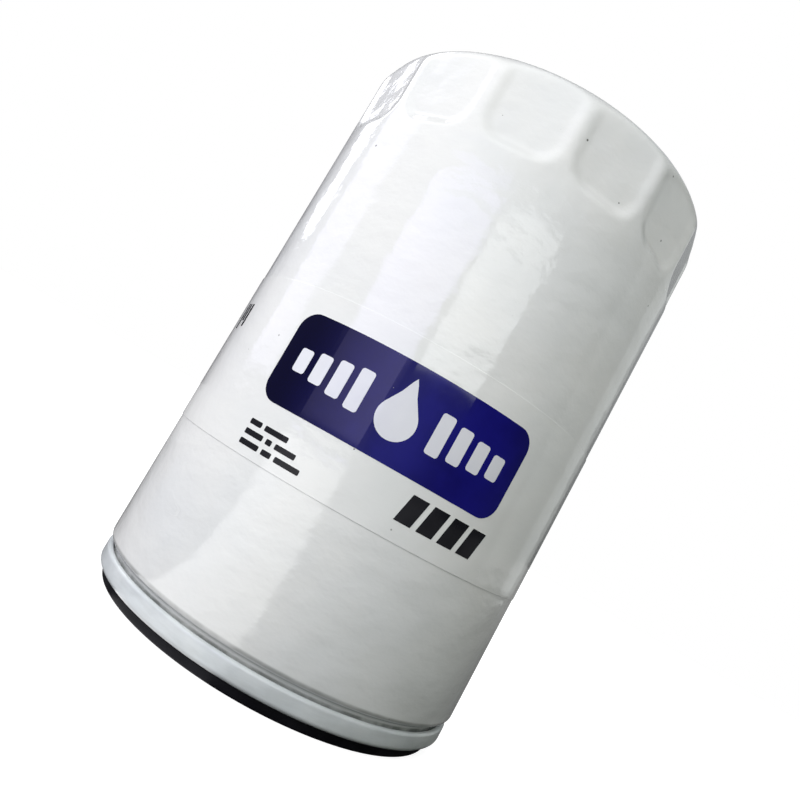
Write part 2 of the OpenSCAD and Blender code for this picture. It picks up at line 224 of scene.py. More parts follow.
def can_outline():
    """The can's outer face, from the end of its hook, round the seam, up the body and over the dome."""
    hook_in_r = HOOK_R - CAN_T
    step_w = CAN_R - NECK_R
    bend = (NECK_H ** 2 + step_w ** 2) / (4 * step_w)
    angle = degrees(asin(NECK_H / 2 / bend))
    tilt = degrees(asin(DOME_IN / DOME_BALL))
    flat_low = TOP_Z - FLAT_H
    dome_steps = 14
    outline = [(hook_in_r, SEAM_TOP - LID_T - HOOK_SHORT)]
    outline += arc(TURN_AT, hook_in_r - TURN_AT[0], 0, -180, 10)
    outline += arc((NECK_R + bend, SEAM_TOP), bend, 180, 180 - angle, 5)
    outline += arc((CAN_R - bend, SEAM_TOP + NECK_H), bend, -angle, 0, 7)[1:]
    outline += line(outline[-1], (CAN_R, flat_low - 2 * MM), 10)
    outline += line(outline[-1], (CAN_R, CORNER_Z), 30)
    outline += arc((DOME_IN, CORNER_Z), DOME_CORNER_R, 0, 90 - tilt, dome_steps)[1:]
    for i in range(1, dome_steps + 1):
        r = DOME_IN * (1 - i / dome_steps)
        outline.append((r, TOP_Z - DOME_BALL + sqrt(DOME_BALL ** 2 - r ** 2)))
    return outline


def ease(x):
    """A smooth step from 0 to 1."""
    x = max(0, min(1, x))
    return x * x * (3 - 2 * x)


def flat_press(co):
    """How far in a point of the can's outer face is pressed by the wrench flat nearest to it."""
    brow = 0.2 * MM
    r = hypot(co.x, co.y)
    if r < CAN_R / 2:
        return 0
    pitch = 2 * pi / FLATS
    turn = atan2(co.x, -co.y) - FLAT_PHASE
    off = CAN_R * (turn - pitch * floor(turn / pitch + 0.5))
    across = abs(off) - FLAT_W / 2 + FLAT_CORNER_R
    below = TOP_Z - FLAT_H + FLAT_CORNER_R - co.z
    outside = hypot(max(across, 0), max(below, 0)) + min(0, max(across, below)) - FLAT_CORNER_R
    plane = FLAT_DEPTH - off * off / (2 * CAN_R) - (CAN_R - r)
    rounded_plane = (plane + hypot(plane, brow)) / 2
    lean = (r - DOME_IN) / DOME_CORNER_R if co.z > CORNER_Z else 1
    return rounded_plane * ease(0.5 - outside / (2 * FLAT_SOFT)) / max(0.5, lean)


def make_can():
    """The drawn can, with its wrench flats pressed in before the sheet gets its thickness."""
    piece = turned("can_shell", can_outline(), FLAT_COLUMNS * FLATS, closed=False)
    pressed = piece.vertex_groups.new(name="pressed")
    deepest = 1.3 * FLAT_DEPTH
    for vertex in piece.data.vertices:
        share = flat_press(vertex.co) / deepest
        if share > 0.001:
            pressed.add([vertex.index], min(1, share), "REPLACE")
    apply(piece, "DISPLACE", vertex_group="pressed", mid_level=0, strength=-deepest)
    apply(piece, "SOLIDIFY", thickness=CAN_T, offset=-1)
    return smooth(piece, 50)


# ---- Seam and lid ----
def make_lid():
    """The lid's sheet: a flange under the base plate, the gasket's channel and the seam's outer layers."""
    channel_z = gasket_high.z + LAP
    flange_z = PLATE_Z - LAP - LID_T
    wall = GASKET_IN_R - SEAT_GAP - LID_T / 2
    bend = 0.5 * MM
    half = LID_T / 2
    turn_r = (SEAM_R - POCKET_R - LID_T) / 2
    top_r = (SEAM_R - LID_HOOK_R) / 2
    top_at = (SEAM_R - half - top_r, SEAM_TOP - half - top_r)
    outline = [(LID_HOLE_R, flange_z + half)]
    outline += line(outline[0], (wall - bend, flange_z + half), 3)
    outline += arc((wall - bend, flange_z + half + bend), bend, -90, 0, 6)[1:]
    outline += arc((wall + bend, channel_z + half - bend), bend, 180, 90, 6)
    outline += arc((POCKET_R + half - bend, channel_z + half - bend), bend, 90, 0, 6)
    outline += arc(TURN_AT, turn_r, 180, 360, 18)
    outline += arc(top_at, top_r, 0, 180, 12)
    outline += [(LID_HOOK_R - half, TURN_AT[1] + HOOK_SHORT)]
    piece = turned("seam_ring", outline, 256, closed=False)
    apply(piece, "SOLIDIFY", thickness=LID_T, offset=0)
    return smooth(piece, 50)


def make_gasket():
    """A square-cut ring with soft edges, narrower where it sits in the lid's channel."""
    low, high = gasket_low.z, gasket_high.z
    soft = 0.45 * MM
    in_r = GASKET_IN_R
    out_r = gasket_high.x
    seat_r = POCKET_R - SEAT_GAP
    clear = 2 * SEAT_GAP
    outline = arc((in_r + soft, low + soft), soft, 180, 270, 5)
    outline += arc((out_r - soft, low + soft), soft, 270, 360, 6)
    outline += arc((out_r - soft, SEAM_LOW - clear - soft / 2), soft, 0, 40, 3)
    outline += [(seat_r, SEAM_LOW + LID_T + clear)]
    outline += arc((seat_r - soft, high - soft), soft, 0, 90, 4)
    outline += arc((in_r + soft, high - soft), soft, 90, 180, 4)
    piece = turned("gasket_ring", outline, 192)
    return smooth(piece, 50)


# ---- Base plate ----
def plate_outline():
    """The plate from the hub's mouth, out along its underside, back over its top and up the hub."""
    low, top, high = PLATE_Z, PLATE_Z + PLATE_T, HUB_TOP
    rim_low = gasket_high.z + 2 * LAP + LID_T
    step_r = GASKET_IN_R - 2 * SEAT_GAP - LID_T
    mouth = 2.4 * MM
    chamfer = 0.6 * MM
    bore = THREAD_MAJOR_R + 0.04 * MM
    fillet = mouth / 2
    outline = arc((THREAD_MINOR_R + mouth, low + mouth), mouth, 200, 270, 8)
    outline += [(step_r - 0.5 * MM, low), (step_r - 0.12 * MM, low + 0.14 * MM),
                (step_r, low + 0.5 * MM), (step_r, rim_low)]
    outline += [(POCKET_R - 0.2 * MM, rim_low), (POCKET_R, rim_low + 0.2 * MM)]
    outline += arc((POCKET_R - 0.5 * MM, rim_low + PLATE_T - 0.5 * MM), 0.5 * MM, 0, 90, 4)
    outline += [(step_r, rim_low + PLATE_T), (step_r - 1.4 * MM, top)]
    outline += arc((HUB_R + fillet, top + fillet), fillet, 270, 180, 6)
    outline += [(HUB_R, high - chamfer), (HUB_R - chamfer / 3, high - chamfer / 6),
                (HUB_R - chamfer, high), (bore + chamfer / 2, high), (bore, high - chamfer)]
    outline += [(bore, low + mouth)]
    return outline


def make_plate():
    """The pressed plate, with its ring of oil inlets drilled and every edge broken."""
    piece = turned("pressed_base", plate_outline(), 160)
    nothing_selected()
    bpy.ops.mesh.primitive_cylinder_add(vertices=48, radius=INLET_R, depth=3 * PLATE_T)
    drill = named("drill")
    for k in range(INLETS):
        turn = Matrix.Rotation(k * 2 * pi / INLETS, 4, "Z")
        drill.matrix_world = turn @ Matrix.Translation((INLET_PCR, 0, PLATE_Z))
        apply(piece, "BOOLEAN", operation="DIFFERENCE", object=drill, solver="EXACT")
    bpy.data.objects.remove(drill)
    apply(piece, "BEVEL", width=0.15 * MM, segments=2, limit_method="ANGLE", angle_limit=radians(60))
    return smooth(piece, 30)


def make_thread():
    """The ridge between the thread's grooves, swept up the hub's bore as a helix."""
    low = PLATE_Z + 2.2 * MM
    high = HUB_TOP - 0.5 * MM
    turns = int((high - low) / THREAD_PITCH)
    sides = 48
    root_r = THREAD_MAJOR_R + 0.1 * MM
    crest_r = THREAD_MINOR_R + 0.04 * MM
    ridge = [(root_r, -0.46), (root_r, 0.46), (crest_r, 0.09), (THREAD_MINOR_R, 0.05),
             (THREAD_MINOR_R, -0.05), (crest_r, -0.09), (root_r, -0.46)]
    piece = chain("hub_thread", [(r, low + pitches * THREAD_PITCH) for r, pitches in ridge])
    bpy.ops.mesh.remove_doubles(threshold=MERGE)
    bpy.ops.mesh.edge_face_add()
    done(piece)
    apply(piece, "SCREW", angle=2 * pi, screw_offset=THREAD_PITCH, iterations=turns,
          steps=sides, render_steps=sides, use_merge_vertices=True)
    edit(piece)
    bpy.ops.mesh.select_all(action="SELECT")
    bpy.ops.mesh.remove_doubles(threshold=MERGE)
    bpy.ops.mesh.select_all(action="DESELECT")
    bpy.ops.mesh.select_non_manifold(extend=False)
    bpy.ops.mesh.edge_face_add()
    bpy.ops.mesh.select_all(action="SELECT")
    bpy.ops.mesh.normals_make_consistent(inside=False)
    done(piece)
    return smooth(piece, 20)


# ---- Drain-back valve ----
def make_valve():
    """One rubber moulding: a collar on the hub, a shelf, and a skirt with a bead at its lip."""
    top, lip_z = valve_high.z, skirt_low.z
    in_r = HUB_R + LAP
    shelf_r = valve_high.x
    seat_r = THREAD_MINOR_R + MM
    root_low, root_high = skirt_high.z - SKIRT_T, skirt_high.z
    bend = 0.5 * MM
    lip_w = 1.2 * MM
    lip_bead = 0.4 * MM
    brim = 0.3 * MM
    outline = [(seat_r, top), (seat_r, HUB_TOP + LAP), (in_r, HUB_TOP + LAP)]
    outline += line(outline[-1], (in_r, root_low + bend), 3)
    outline += arc((in_r + bend, root_low + bend), bend, 180, 270, 4)[1:]
    outline += line(outline[-1], (shelf_r, root_low), 2)
    outline += line(outline[-1], (LIP_R - lip_w, lip_z + 0.05 * MM), 12)
    outline += [(LIP_R - lip_w / 2, lip_z)]
    outline += arc((LIP_R - lip_bead, lip_z + lip_bead), lip_bead, -90, 90, 6)
    upper = line((LIP_R - lip_w, lip_z + 0.85 * MM), (shelf_r + SKIRT_T, root_high), 18)
    for i, (r, z) in enumerate(upper):
        groove = 0.18 * MM if i in (5, 11) else 0
        outline.append((r, z - groove))
    outline += arc((shelf_r + SKIRT_T, root_high + SKIRT_T), SKIRT_T, 270, 180, 5)
    outline += arc((shelf_r - brim, top - brim), brim, 0, 90, 3)
    piece = turned("drainback_moulding", outline, 128)
    return smooth(piece, 40)


# ---- Bypass spring ----
COIL_R = 8 * MM
COIL_WIRE = 1.2 * MM
COIL_TURNS = 6.5


def coil_height(share, low, high):
    """Height along a coil whose first and last turns lie flat."""
    flat = 1 / COIL_TURNS
    rise = 1.02 * COIL_WIRE
    start = rise * min(share, flat) / flat
    finish = rise * max(0, share - 1 + flat) / flat
    middle = max(0, min(share, 1 - flat) - flat) / (1 - 2 * flat)
    return low + start + middle * (high - low - 2 * rise) + finish


def make_coil():
    """The bypass spring: a round wire along a helix."""
    low = coil_low.z + COIL_WIRE / 2
    high = coil_high.z - COIL_WIRE / 2
    steps = int(40 * COIL_TURNS)
    nothing_selected()
    bpy.ops.curve.primitive_nurbs_path_add(location=(0, 0, 0))
    piece = named("bypass_coil")
    wire = piece.data
    wire.splines.clear()
    path = wire.splines.new("POLY")
    path.points.add(steps)
    for i, point in enumerate(path.points):
        share = i / steps
        turn = 2 * pi * COIL_TURNS * share
        point.co = (COIL_R * cos(turn), COIL_R * sin(turn), coil_height(share, low, high), 1)
    wire.dimensions = "3D"
    wire.bevel_depth = COIL_WIRE / 2
    wire.bevel_resolution = 4
    wire.use_fill_caps = True
    bpy.ops.object.convert(target="MESH")
    return smooth(named("bypass_coil"), 40)


# ---- Label ----
FILM_R = film_high.x
FILM_IN_R = CAN_R + 0.02 * MM
FILM_GAP = radians(2)


def make_film():
    """The printed film, which stops short of a full turn at the back."""
    low, high = film_low.z, film_high.z
    edge = 0.03 * MM
    outline = [(FILM_IN_R, low), (FILM_R - edge, low), (FILM_R, low + edge)]
    outline += line((FILM_R, low + edge), (FILM_R, high - edge), 8)
    outline += [(FILM_R - edge, high), (FILM_IN_R, high), (FILM_IN_R, low)]
    piece = chain("label_wrap", outline)
    bpy.ops.mesh.remove_doubles(threshold=MERGE)
    bpy.ops.mesh.edge_face_add()
    bpy.ops.mesh.spin(steps=240, angle=2 * pi - FILM_GAP, center=(0, 0, 0), axis=(0, 0, 1))
    clean_up()
    done(piece)
    piece.rotation_euler.z = pi / 2 + FILM_GAP / 2
    settled(piece)
    return smooth(piece, 30)


def flat_shape(corners, x, z):
    """A flat shape in the XZ plane from its corners, ready to wrap round the can."""
    piece = chain("shape", corners)
    bpy.ops.mesh.edge_face_add()
    bpy.ops.mesh.select_all(action="SELECT")
    bpy.ops.mesh.edge_face_add()
    done(piece)
    piece.location = (x, 0, z)
    return settled(piece)


PRINT_T = 0.03 * MM
STRIP_W = 0.9 * MM


def printed(name, shapes, layer=0):
    """Joins flat shapes, cuts them into strips that can bend, and wraps them round the film."""
    nothing_selected()
    for shape in shapes:
        shape.select_set(True)
    bpy.context.view_layer.objects.active = shapes[0]
    if len(shapes) > 1:
        bpy.ops.object.join()
    piece = named(name)
    xs = [v.co.x for v in piece.data.vertices]
    low, high = min(xs), max(xs)
    edit(piece)
    strips = int((high - low) / STRIP_W)
    for i in range(1, strips):
        bpy.ops.mesh.select_all(action="SELECT")
        bpy.ops.mesh.bisect(plane_co=(low + (high - low) * i / strips, 0, 0), plane_no=(1, 0, 0))
    done(piece)
    for polygon in piece.data.polygons:
        if polygon.normal.y > 0:
            polygon.flip()
    apply(piece, "SIMPLE_DEFORM", deform_method="BEND", deform_axis="Z", angle=(high - low) / FILM_R)
    apply(piece, "SOLIDIFY", thickness=PRINT_T * (layer + 1) + PRINT_T / 2, offset=1)
    piece.location.y = -FILM_R + PRINT_T / 2
    return settled(piece)


def rounded(w, h, r, steps=8):
    """The corners of a rectangle with rounded corners, about its middle."""
    corners = []
    for cx, cz, start in ((w / 2 - r, -h / 2 + r, -90), (w / 2 - r, h / 2 - r, 0),
                          (-w / 2 + r, h / 2 - r, 90), (-w / 2 + r, -h / 2 + r, 180)):
        corners += arc((cx, cz), r, start, start + 90, steps)
    return corners


# ---- Printed graphics: plain marks, with no lettering ----
PANEL_Z = 50.6 * MM
PANEL_W, PANEL_H = 46.4 * MM, 16.6 * MM
PANEL_CORNER_R = 3.4 * MM
DROP_R = 3.5 * MM
BAR_W, BAR_PITCH = 2.5 * MM, 3.75 * MM
BAR_HEIGHTS = (7.2 * MM, 6.2 * MM, 5.2 * MM, 4.2 * MM)
FIRST_BAR_X = 7.4 * MM
MARKS_Z = 38.1 * MM
BLOCKS = 4
BLOCKS_X = 7.2 * MM
BLOCK_W, BLOCK_PITCH = 3.1 * MM, 4.15 * MM
BLOCK_H, BLOCK_SLANT = 4.9 * MM, 1.1 * MM
# The widths of the bars in each row, from the top
ROWS = ((2.6 * MM, 4.9 * MM), (4.0 * MM, 1.2 * MM, 4.1 * MM), (4.2 * MM, 2.0 * MM, 4.9 * MM))
ROWS_X = -21.8 * MM
ROW_PITCH, ROW_H, ROW_SPACE = 1.78 * MM, 0.95 * MM, 0.75 * MM
SMALL_CORNER_R = 0.2 * MM
SIDE_HEIGHTS = (5.4 * MM, 3.6 * MM, 4.8 * MM)
SIDE_TURN, SIDE_PITCH = radians(-66.5), 1.5 * MM
SIDE_W, SIDE_TOP = 0.9 * MM, 56.8 * MM


def make_panel():
    """The blue ground that the symbol is printed over."""
    outline = rounded(PANEL_W, PANEL_H, PANEL_CORNER_R)
    return printed("print_panel", [flat_shape(outline, 0, PANEL_Z)])


def make_symbol():
    """An oil drop between two runs of level bars that shrink outwards."""
    drop = arc((0, -1.3 * MM), DROP_R, -210, 30, 22)
    drop += [(1.35 * MM, 3.2 * MM), (0.5 * MM, 5.2 * MM), (0, 6.1 * MM),
             (-0.5 * MM, 5.2 * MM), (-1.35 * MM, 3.2 * MM)]
    marks = [flat_shape(drop, 0, PANEL_Z)]
    for side in (-1, 1):
        for i, height in enumerate(BAR_HEIGHTS):
            bar = rounded(BAR_W, height, 0.5 * MM, 4)
            marks.append(flat_shape(bar, side * (FIRST_BAR_X + i * BAR_PITCH), PANEL_Z))
    return printed("print_symbol", marks, layer=1)


def make_blocks():
    """Slanted dark blocks below the panel."""
    low, high = -BLOCK_H / 2, BLOCK_H / 2
    block = [(0, low), (BLOCK_W, low), (BLOCK_W + BLOCK_SLANT, high), (BLOCK_SLANT, high)]
    blocks = [flat_shape(block, BLOCKS_X + i * BLOCK_PITCH, MARKS_Z) for i in range(BLOCKS)]
    return printed("print_blocks", blocks)


def make_rows():
    """Rows of short bars at the panel's lower left."""
    bars = []
    for row, widths in enumerate(ROWS):
        x = ROWS_X
        for width in widths:
            bar = rounded(width, ROW_H, SMALL_CORNER_R, 3)
            bars.append(flat_shape(bar, x + width / 2, MARKS_Z - row * ROW_PITCH))
            x += width + ROW_SPACE
    return printed("print_rows", bars)


def make_side_marks():
    """Upright bars round the left side of the can, hanging from one line."""
    bars = []
    for i, height in enumerate(SIDE_HEIGHTS):
        bar = rounded(SIDE_W, height, SMALL_CORNER_R, 3)
        bars.append(flat_shape(bar, SIDE_TURN * FILM_R + i * SIDE_PITCH, SIDE_TOP - height / 2))
    return printed("print_side", bars)


# ---- Camera ----
# Its place, the turn and rise of the way its back faces, and its roll, in degrees
CAMERA_AT = Vector((0, -3.9 * CAN_R, 1.061 * CAN_R))
CAMERA_TURN, CAMERA_RISE, CAMERA_ROLL = 0.51, -6.23, 29.5
LENS, SENSOR_W = 31.7, 36


def facing(turn, rise):
    """The direction of an angle from the front, positive to the right, and an angle above the floor."""
    turn, rise = radians(turn), radians(rise)
    return Vector((sin(turn) * cos(rise), -cos(turn) * cos(rise), sin(rise)))


def make_camera():
    """The view: low in front of the can, looking slightly up, and rolled so that the can leans right."""
    data = bpy.data.cameras.new("camera")
    camera = bpy.data.objects.new("camera", data)
    bpy.context.scene.collection.objects.link(camera)
    data.lens = LENS
    data.sensor_width = SENSOR_W
    data.clip_start = 5 * MM
    level = facing(CAMERA_TURN, CAMERA_RISE).to_track_quat("Z", "Y").to_matrix().to_4x4()
    roll = Matrix.Rotation(radians(CAMERA_ROLL), 4, "Z")
    camera.matrix_world = Matrix.Translation(CAMERA_AT) @ level @ roll
    bpy.context.scene.camera = camera


# ---- Shader building blocks ----
def feed(tree, socket, value):
    """Links another node's output to a socket, or sets the socket's own value."""
    if isinstance(value, bpy.types.NodeSocket):
        tree.links.new(value, socket)
    elif isinstance(value, tuple) and len(value) == 3 and socket.type == "RGBA":
        socket.default_value = (*value, 1)
    else:
        socket.default_value = value


def node(tree, kind, inputs=None, **settings):
    """Adds a node with its settings, and feeds its inputs by name or number."""
    made = tree.nodes.new("ShaderNode" + kind)
    for name, value in settings.items():
        setattr(made, name, value)
    for name, value in (inputs or {}).items():
        feed(tree, made.inputs[name], value)
    return made


def maths(tree, operation, a, b=0.0):
    made = node(tree, "Math", operation=operation)
    feed(tree, made.inputs[0], a)
    feed(tree, made.inputs[1], b)
    return made.outputs[0]


def ramp(tree, value, low, high, to_low=0.0, to_high=1.0):
    """Carries low..high over to to_low..to_high, eased at both ends."""
    made = node(tree, "MapRange", {"Value": value, "From Min": low, "From Max": high,
                                   "To Min": to_low, "To Max": to_high}, interpolation_type="SMOOTHSTEP")
    return made.outputs[0]


def mixed(tree, share, a, b):
    """A colour that goes from a to b as share goes from 0 to 1."""
    made = node(tree, "Mix", data_type="RGBA")
    feed(tree, made.inputs[0], share)
    feed(tree, made.inputs[6], a)
    feed(tree, made.inputs[7], b)
    return made.outputs[2]


def scaled(tree, place, factor):
    """Coordinates times a number, or times a number on each axis."""
    if isinstance(factor, tuple):
        made = node(tree, "VectorMath", operation="MULTIPLY")
        feed(tree, made.inputs[1], factor)
    else:
        made = node(tree, "VectorMath", {"Scale": factor}, operation="SCALE")
    feed(tree, made.inputs[0], place)
    return made.outputs[0]


def noise(tree, place, scale=1.0, detail=2.0, roughness=0.5):
    return node(tree, "TexNoise", {"Vector": place, "Scale": scale, "Detail": detail,
                                   "Roughness": roughness}).outputs[0]


def new_group(name, inputs, outputs):
    """A node group with named sockets; returns its tree, its input sockets and its output sockets."""
    tree = bpy.data.node_groups.new(name, "ShaderNodeTree")
    for socket, value in inputs:
        kind = "NodeSocketVector" if socket == "Place" else "NodeSocketFloat"
        made = tree.interface.new_socket(name=socket, in_out="INPUT", socket_type=kind)
        if socket != "Place":
            made.default_value = value
    for socket in outputs:
        tree.interface.new_socket(name=socket, in_out="OUTPUT", socket_type="NodeSocketFloat")
    return tree, tree.nodes.new("NodeGroupInput").outputs, tree.nodes.new("NodeGroupOutput").inputs


def use(tree, group, place, **values):
    """Places a group in a material; its values are given by name, with lengths in metres."""
    made = tree.nodes.new("ShaderNodeGroup")
    made.node_tree = bpy.data.node_groups[group]
    feed(tree, made.inputs["Place"], place)
    for name, value in values.items():
        feed(tree, made.inputs[name], value)
    return made.outputs[0]


# ---- Light and floor ----
# Broad soft lights: turn from the front (positive to the right), rise, and colour times strength
SKY = (
    (-40, 45, (3.05, 3.08, 3.02)),
    (-40, 8, (0.85, 0.75, 1.25)),
    (-5, 8, (1.05, 1.15, 0.85)),
    (-110, 8, (1.40, 1.36, 1.45)),
    (-160, 35, (0.45, 0.45, 0.48)),
    (100, 8, (0.25, 0.28, 0.27)),
    (165, 35, (1.50, 1.55, 1.60)),
)
SKY_FOCUS = 6
# Share of those lights that shows in reflections, where the panes stand in for them
SKY_SHINE = 0.22
# Panes seen only as reflections: turn, rise, distance, width, height, colour times strength
PANES = (
    ("front pane left", -29, 13, 0.60, 0.42, 0.28, (1.25, 1.15, 1.9)),
    ("front pane right", 14, 17, 0.60, 0.38, 0.17, (1.9, 1.95, 2.0)),
    ("left pane", -121, 34, 0.60, 0.12, 0.42, (3.0, 3.0, 3.2)),
    ("left panel", -92, 24, 0.60, 0.26, 0.50, (0.8, 0.75, 1.0)),
    ("right panel", 112, 15, 0.60, 0.50, 0.44, (0.34, 0.35, 0.35)),
    ("far right panel", 130, 15, 0.60, 0.26, 0.44, (0.22, 0.23, 0.23)),
)
# The floor's glow grows with distance, and fades to the sides by these shares
FLOOR_SIZE, FLOOR_Z = 8, -0.03 * MM
FLOOR_NEAR, FLOOR_FAR = 60 * MM, 420 * MM
FLOOR_DARK, FLOOR_PALE = 0.03, 1.2
SIDE_SHARE, RIGHT_SHARE = 0.45, 0.5
# Glow that is added at the two sides, and the floor's strength in reflections
LEFT_GLOW, RIGHT_GLOW = 0.38, 0.34
FLOOR_SHINE = 0.4
# A bright strip of floor at the front left: its turns, its glow, and its strength in reflections
STRIP_FROM, STRIP_TO = radians(-51), radians(-9)
STRIP_EDGE = radians(2)
STRIP_GLOW, STRIP_SHINE = 0.2, 1.9
# What the camera sees of the floor, apart from the shadow on it
FLOOR_GREY, FLOOR_WHITE = (0.4, 0.4, 0.4), 0.9


def hang_pane(name, turn, rise, distance, width, height, colour):
    """A lit rectangle that faces the can's middle and shows only in reflections."""
    data = bpy.data.lights.new(name, "AREA")
    data.shape = "RECTANGLE"
    data.size, data.size_y = width, height
    data.energy = pi * width * height
    data.color = colour
    pane = bpy.data.objects.new(name, data)
    bpy.context.scene.collection.objects.link(pane)
    away = facing(turn, rise)
    pane.location = away * distance + Vector((0, 0, TOP_Z / 2))
    pane.rotation_euler = away.to_track_quat("Z", "Y").to_euler()
    pane.visible_camera = False
    pane.visible_diffuse = False


def make_sky():
    """White behind the object; around it, a few broad soft lights."""
    scene = bpy.context.scene
    scene.view_settings.view_transform = "Standard"
    world = bpy.data.worlds.new("studio")
    scene.world = world
    world.use_nodes = True
    tree = world.node_tree
    tree.nodes.clear()
    place = node(tree, "TexCoord").outputs["Generated"]
    total = node(tree, "CombineXYZ").outputs[0]
    for turn, rise, colour in SKY:
        along = node(tree, "VectorMath", {0: place, 1: tuple(facing(turn, rise))}, operation="DOT_PRODUCT")
        lobe = maths(tree, "POWER", maths(tree, "MAXIMUM", along.outputs["Value"]), SKY_FOCUS)
        light = node(tree, "VectorMath", {0: colour, "Scale": lobe}, operation="SCALE").outputs[0]
        total = node(tree, "VectorMath", {0: total, 1: light}, operation="ADD").outputs[0]
    path = node(tree, "LightPath").outputs
    shown = ramp(tree, path["Is Glossy Ray"], 0.0, 1.0, 1.0, SKY_SHINE)
    around = node(tree, "Background", {"Color": total, "Strength": shown})
    behind = node(tree, "Background", {"Color": (1, 1, 1)})
    mix = node(tree, "MixShader", {0: path["Is Camera Ray"], 1: around.outputs[0], 2: behind.outputs[0]})
    node(tree, "OutputWorld", {"Surface": mix.outputs[0]})


def floor_glow(tree):
    """How strongly the floor glows, by its distance and its turn from the front."""
    place = node(tree, "TexCoord").outputs["Object"]
    shine = node(tree, "LightPath").outputs["Is Glossy Ray"]
    away = node(tree, "VectorMath", {0: place}, operation="LENGTH").outputs["Value"]
    parts = node(tree, "SeparateXYZ", {"Vector": place}).outputs
    turn = maths(tree, "ARCTAN2", parts[0], maths(tree, "MULTIPLY", parts[1], -1.0))
    glow = ramp(tree, away, FLOOR_NEAR, FLOOR_FAR, FLOOR_DARK, FLOOR_PALE)
    to_side = ramp(tree, maths(tree, "ABSOLUTE", turn), radians(50), radians(90), 1.0, SIDE_SHARE)
    to_right = ramp(tree, turn, radians(5), radians(40), 1.0, RIGHT_SHARE)
    glow = maths(tree, "MULTIPLY", glow, maths(tree, "MULTIPLY", to_side, to_right))
    left = ramp(tree, turn, radians(-58), radians(-50), LEFT_GLOW, 0.0)
    right = ramp(tree, turn, radians(65), radians(85), 0.0, RIGHT_GLOW)
    glow = maths(tree, "ADD", glow, maths(tree, "ADD", left, right))
    glow = maths(tree, "MULTIPLY", glow, ramp(tree, shine, 0.0, 1.0, 1.0, FLOOR_SHINE))
    from_left = ramp(tree, turn, STRIP_FROM - STRIP_EDGE, STRIP_FROM + STRIP_EDGE)
    to_front = ramp(tree, turn, STRIP_TO - STRIP_EDGE, STRIP_TO + STRIP_EDGE, 1.0, 0.0)
    strip = maths(tree, "MULTIPLY", from_left, to_front)
    strip = maths(tree, "MULTIPLY", strip, ramp(tree, shine, 0.0, 1.0, STRIP_GLOW, STRIP_SHINE))
    return maths(tree, "ADD", glow, strip)


def make_floor():
    """A pale floor that catches the object's shadow, glows in reflections and is clear from below."""
    nothing_selected()
    bpy.ops.mesh.primitive_plane_add(size=FLOOR_SIZE, location=(0, 0, FLOOR_Z))
    ground = settled(named("floor"))
    material = bpy.data.materials.new("floor")
    material.use_nodes = True
    tree = material.node_tree
    tree.nodes.clear()
    bounced = node(tree, "Emission", {"Strength": floor_glow(tree)})
    lit = node(tree, "Emission", {"Strength": FLOOR_WHITE})
    pale = node(tree, "BsdfDiffuse", {"Color": FLOOR_GREY})
    seen = node(tree, "AddShader", {0: pale.outputs[0], 1: lit.outputs[0]})
    below = node(tree, "NewGeometry").outputs["Backfacing"]
    clear = node(tree, "BsdfTransparent")
    seen = node(tree, "MixShader", {0: below, 1: seen.outputs[0], 2: clear.outputs[0]})
    bounced = node(tree, "MixShader", {0: below, 1: bounced.outputs[0], 2: clear.outputs[0]})
    camera_ray = node(tree, "LightPath").outputs["Is Camera Ray"]
    mix = node(tree, "MixShader", {0: camera_ray, 1: bounced.outputs[0], 2: seen.outputs[0]})
    node(tree, "OutputMaterial", {"Surface": mix.outputs[0]})
    paint(ground, material)


def make_studio():
    make_sky()
    make_floor()
    for pane in PANES:
        hang_pane(*pane)


def paint(piece, material):
    piece.data.materials.clear()
    piece.data.materials.append(material)


# ---- Effects that several finishes use ----
def group_orange_peel():
    """The slow and fine waves of a sprayed or cured surface."""
    tree, given, out = new_group("orange peel", (("Place", 0), ("Size", 1.5 * MM)), ("Height",))
    at = scaled(tree, given["Place"], maths(tree, "DIVIDE", 1.0, given["Size"]))
    wide = noise(tree, at, 1.0, 1.0, 0.4)
    fine = noise(tree, at, 3.3, 2.0, 0.5)
    height = maths(tree, "ADD", maths(tree, "MULTIPLY", wide, 0.8), maths(tree, "MULTIPLY", fine, 0.2))
    feed(tree, out["Height"], height)


def group_specks():
    """Small round marks, scattered one to a cell, of which only a share shows."""
    tree, given, out = new_group("specks", (("Place", 0), ("Spacing", 8 * MM), ("Size", 0.2 * MM),
                                            ("Share", 0.4)), ("Mask",))
    at = scaled(tree, given["Place"], maths(tree, "DIVIDE", 1.0, given["Spacing"]))
    cells = node(tree, "TexVoronoi", {"Vector": at, "Scale": 1.0, "Randomness": 1.0})
    chance = node(tree, "SeparateColor", {"Color": cells.outputs["Color"]})
    radius = maths(tree, "DIVIDE", given["Size"], given["Spacing"])
    radius = maths(tree, "MULTIPLY", radius, ramp(tree, chance.outputs[1], 0.0, 1.0, 0.35, 1.0))
    edge = maths(tree, "DIVIDE", maths(tree, "SUBTRACT", radius, cells.outputs["Distance"]), radius)
    shown = maths(tree, "LESS_THAN", chance.outputs[0], given["Share"])
    feed(tree, out["Mask"], maths(tree, "MULTIPLY", ramp(tree, edge, 0.0, 0.5), shown))


def group_clouds():
    """Soft uneven patches between two values."""
    tree, given, out = new_group("clouds", (("Place", 0), ("Size", 20 * MM), ("Low", 0.0),
                                            ("High", 1.0)), ("Value",))
    at = scaled(tree, given["Place"], maths(tree, "DIVIDE", 1.0, given["Size"]))
    cloud = noise(tree, at, 1.0, 4.0, 0.55)
    feed(tree, out["Value"], ramp(tree, cloud, 0.32, 0.68, given["Low"], given["High"]))


